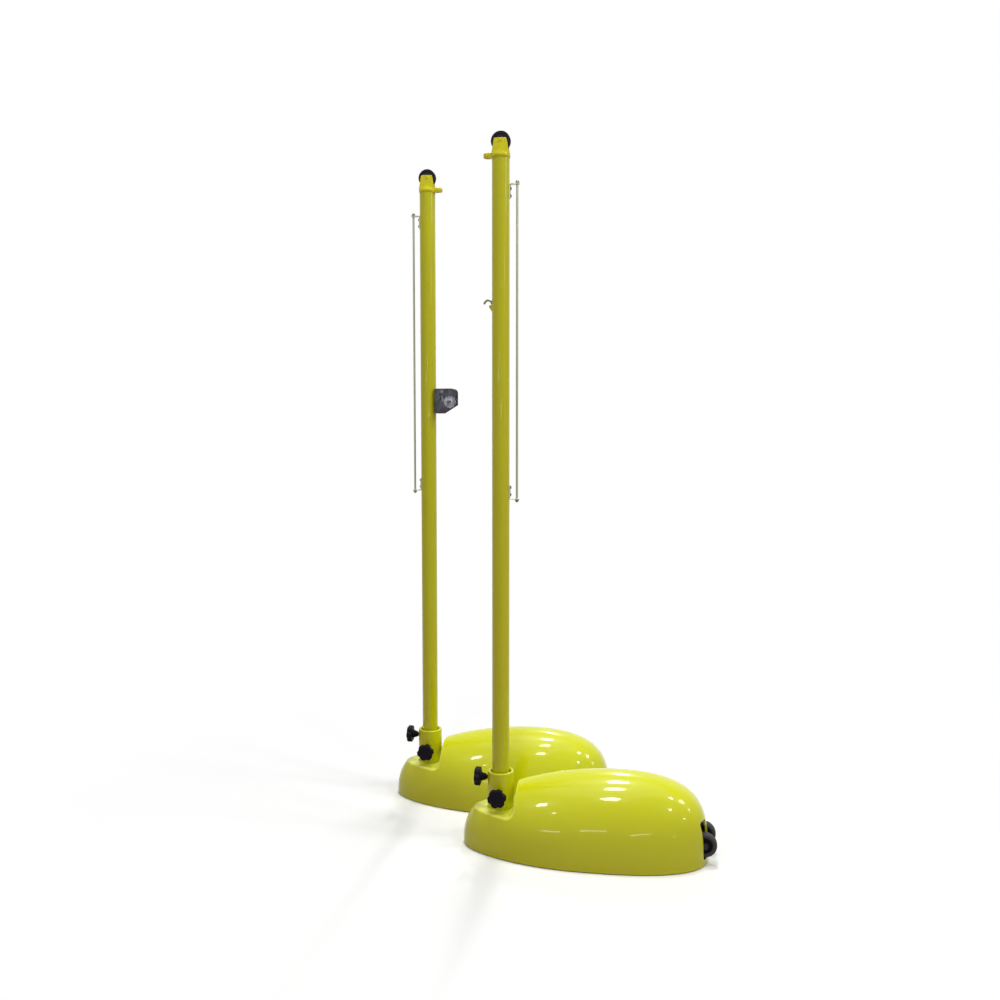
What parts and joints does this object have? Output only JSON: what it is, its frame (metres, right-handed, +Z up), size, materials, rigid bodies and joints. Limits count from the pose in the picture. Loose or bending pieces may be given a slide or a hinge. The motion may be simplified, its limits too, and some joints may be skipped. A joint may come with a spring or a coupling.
{
  "type": "net post pair",
  "caption": "Pair of free-standing net posts on weighted wheeled bases, with pulleys, lacing rods, a cord hook and a ratchet winch.",
  "frame": {"origin": "on the floor, at the middle of the box round the pair", "axes": "+X along the net line from pole to wheeled tail, +Y away from the camera, +Z up"},
  "size_m": [0.7823, 0.4934, 1.5543],
  "materials": {
    "shell_plastic": "glossy lemon-yellow moulding",
    "yellow_paint": "glossy lemon-yellow powder coat",
    "chassis_paint": "satin black paint",
    "cast_weight": "as cast, dark",
    "zinc_steel": "dull zinc",
    "rod_steel": "dull olive-grey zinc",
    "foot_rubber": "matt black",
    "knob_plastic": "satin black",
    "pad_plastic": "natural nylon",
    "seat_plastic": "black nylon",
    "wheel_rubber": "dark, satin",
    "sheave_plastic": "black nylon, satin",
    "winch_paint": "dark grey paint"
  },
  "bodies": {
    "bases": {"ballast_bolts": "zinc_steel", "shell_screws": "zinc_steel", "rubber_feet": "foot_rubber", "socket_bolts": "zinc_steel", "axle_clips": "zinc_steel", "hook_post_base_shell": "shell_plastic", "hook_post_base_plate": "chassis_paint", "hook_post_ballast_weight": "cast_weight", "hook_post_pole_socket": "yellow_paint", "hook_post_wheel_axle": "zinc_steel", "hook_post_axle_bracket": "chassis_paint", "winch_post_base_shell": "shell_plastic", "winch_post_base_plate": "chassis_paint", "winch_post_ballast_weight": "cast_weight", "winch_post_pole_socket": "yellow_paint", "winch_post_wheel_axle": "zinc_steel", "winch_post_axle_bracket": "chassis_paint"},
    "hook_seat": {"hook_post_pole_seat": "seat_plastic"},
    "hook_pole": {"hook_post_pole_tube": "yellow_paint", "hook_post_pulley_bracket": "yellow_paint", "hook_post_sheave_pin": "yellow_paint", "hook_post_lacing_rod": "rod_steel", "hook_post_rod_brackets": "zinc_steel", "hook_post_rod_rivets": "rod_steel", "hook_post_rod_cap_nuts": "rod_steel", "hook_post_cord_hook": "zinc_steel", "hook_post_hook_gusset": "yellow_paint"},
    "hook_sheave": {"hook_post_sheave": "sheave_plastic"},
    "hook_left_wheel": {"hook_post_left_wheel": "wheel_rubber"},
    "hook_right_wheel": {"hook_post_right_wheel": "wheel_rubber"},
    "hook_front_knob_pad": {"hook_post_front_knob_pad": "pad_plastic"},
    "hook_front_knob": {"hook_post_front_knob_grip": "knob_plastic", "hook_post_front_knob_screw": "zinc_steel"},
    "hook_side_knob_pad": {"hook_post_side_knob_pad": "pad_plastic"},
    "hook_side_knob": {"hook_post_side_knob_grip": "knob_plastic", "hook_post_side_knob_screw": "zinc_steel"},
    "winch_seat": {"winch_post_pole_seat": "seat_plastic"},
    "winch_pole": {"winch_post_pole_tube": "yellow_paint", "winch_post_pulley_bracket": "yellow_paint", "winch_post_sheave_pin": "yellow_paint", "winch_post_lacing_rod": "rod_steel", "winch_post_rod_brackets": "zinc_steel", "winch_post_rod_rivets": "rod_steel", "winch_post_rod_cap_nuts": "rod_steel", "winch_post_winch_frame": "winch_paint", "winch_post_winch_screws": "zinc_steel", "winch_post_pawl_pin": "zinc_steel"},
    "winch_sheave": {"winch_post_sheave": "sheave_plastic"},
    "winch_left_wheel": {"winch_post_left_wheel": "wheel_rubber"},
    "winch_right_wheel": {"winch_post_right_wheel": "wheel_rubber"},
    "winch_front_knob_pad": {"winch_post_front_knob_pad": "pad_plastic"},
    "winch_front_knob": {"winch_post_front_knob_grip": "knob_plastic", "winch_post_front_knob_screw": "zinc_steel"},
    "winch_side_knob_pad": {"winch_post_side_knob_pad": "pad_plastic"},
    "winch_side_knob": {"winch_post_side_knob_grip": "knob_plastic", "winch_post_side_knob_screw": "zinc_steel"},
    "winch_drum": {"winch_post_winch_drum": "zinc_steel", "winch_post_ratchet_wheel": "zinc_steel"},
    "winch_pawl": {"winch_post_pawl": "zinc_steel"}
  },
  "joints": [
    {"name": "hook_pole_turn", "type": "hinge", "parent": "bases", "child": "hook_seat", "pos_m": [-0.07985, -0.13265, 0], "axis": [0, 0, 1], "continuous": true},
    {"name": "hook_pole_lift", "type": "slide", "parent": "hook_seat", "child": "hook_pole", "axis": [0, 0, 1], "range_m": [0, 0.16]},
    {"name": "hook_sheave_spin", "type": "hinge", "parent": "hook_pole", "child": "hook_sheave", "pos_m": [-0.07985, -0.13265, 1.5335], "axis": [0, 1, 0], "continuous": true},
    {"name": "hook_left_wheel_spin", "type": "hinge", "parent": "bases", "child": "hook_left_wheel", "pos_m": [0.36515, -0.13265, 0.044], "axis": [0, 1, 0], "continuous": true},
    {"name": "hook_right_wheel_spin", "type": "hinge", "parent": "bases", "child": "hook_right_wheel", "pos_m": [0.36515, -0.13265, 0.044], "axis": [0, 1, 0], "continuous": true},
    {"name": "hook_front_knob_pad_travel", "type": "slide", "parent": "bases", "child": "hook_front_knob_pad", "axis": [0, -1, 0], "range_m": [0, 0.0045]},
    {"name": "hook_front_knob_turn", "type": "hinge", "parent": "hook_front_knob_pad", "child": "hook_front_knob", "pos_m": [-0.07985, -0.13265, 0.122], "axis": [0, -1, 0], "range_deg": [0, 1080]},
    {"name": "hook_side_knob_pad_travel", "type": "slide", "parent": "bases", "child": "hook_side_knob_pad", "axis": [-1, 0, 0], "range_m": [0, 0.0045]},
    {"name": "hook_side_knob_turn", "type": "hinge", "parent": "hook_side_knob_pad", "child": "hook_side_knob", "pos_m": [-0.07985, -0.13265, 0.151], "axis": [-1, 0, 0], "range_deg": [0, 1080]},
    {"name": "winch_pole_turn", "type": "hinge", "parent": "bases", "child": "winch_seat", "pos_m": [-0.30715, 0.13265, 0], "axis": [0, 0, 1], "continuous": true},
    {"name": "winch_pole_lift", "type": "slide", "parent": "winch_seat", "child": "winch_pole", "axis": [0, 0, 1], "range_m": [0, 0.16]},
    {"name": "winch_sheave_spin", "type": "hinge", "parent": "winch_pole", "child": "winch_sheave", "pos_m": [-0.30715, 0.13265, 1.5335], "axis": [0, 1, 0], "continuous": true},
    {"name": "winch_left_wheel_spin", "type": "hinge", "parent": "bases", "child": "winch_left_wheel", "pos_m": [0.13785, 0.13265, 0.044], "axis": [0, 1, 0], "continuous": true},
    {"name": "winch_right_wheel_spin", "type": "hinge", "parent": "bases", "child": "winch_right_wheel", "pos_m": [0.13785, 0.13265, 0.044], "axis": [0, 1, 0], "continuous": true},
    {"name": "winch_front_knob_pad_travel", "type": "slide", "parent": "bases", "child": "winch_front_knob_pad", "axis": [0, -1, 0], "range_m": [0, 0.0045]},
    {"name": "winch_front_knob_turn", "type": "hinge", "parent": "winch_front_knob_pad", "child": "winch_front_knob", "pos_m": [-0.30715, 0.13265, 0.122], "axis": [0, -1, 0], "range_deg": [0, 1080]},
    {"name": "winch_side_knob_pad_travel", "type": "slide", "parent": "bases", "child": "winch_side_knob_pad", "axis": [-1, 0, 0], "range_m": [0, 0.0045]},
    {"name": "winch_side_knob_turn", "type": "hinge", "parent": "winch_side_knob_pad", "child": "winch_side_knob", "pos_m": [-0.30715, 0.13265, 0.151], "axis": [-1, 0, 0], "range_deg": [0, 1080]},
    {"name": "winch_drum_spin", "type": "hinge", "parent": "winch_pole", "child": "winch_drum", "pos_m": [-0.24915, 0.13265, 0.9908], "axis": [0, 1, 0], "continuous": true},
    {"name": "winch_pawl_swing", "type": "hinge", "parent": "winch_pole", "child": "winch_pawl", "pos_m": [-0.26815, 0.13265, 1.015], "axis": [0, 1, 0], "range_deg": [0, 25]}
  ],
  "couplings": [
    {"joint": "hook_front_knob_turn", "follows": "hook_front_knob_pad_travel", "rad_per_m": 4188.8},
    {"joint": "hook_side_knob_turn", "follows": "hook_side_knob_pad_travel", "rad_per_m": 4188.8},
    {"joint": "winch_front_knob_turn", "follows": "winch_front_knob_pad_travel", "rad_per_m": 4188.8},
    {"joint": "winch_side_knob_turn", "follows": "winch_side_knob_pad_travel", "rad_per_m": 4188.8}
  ]
}
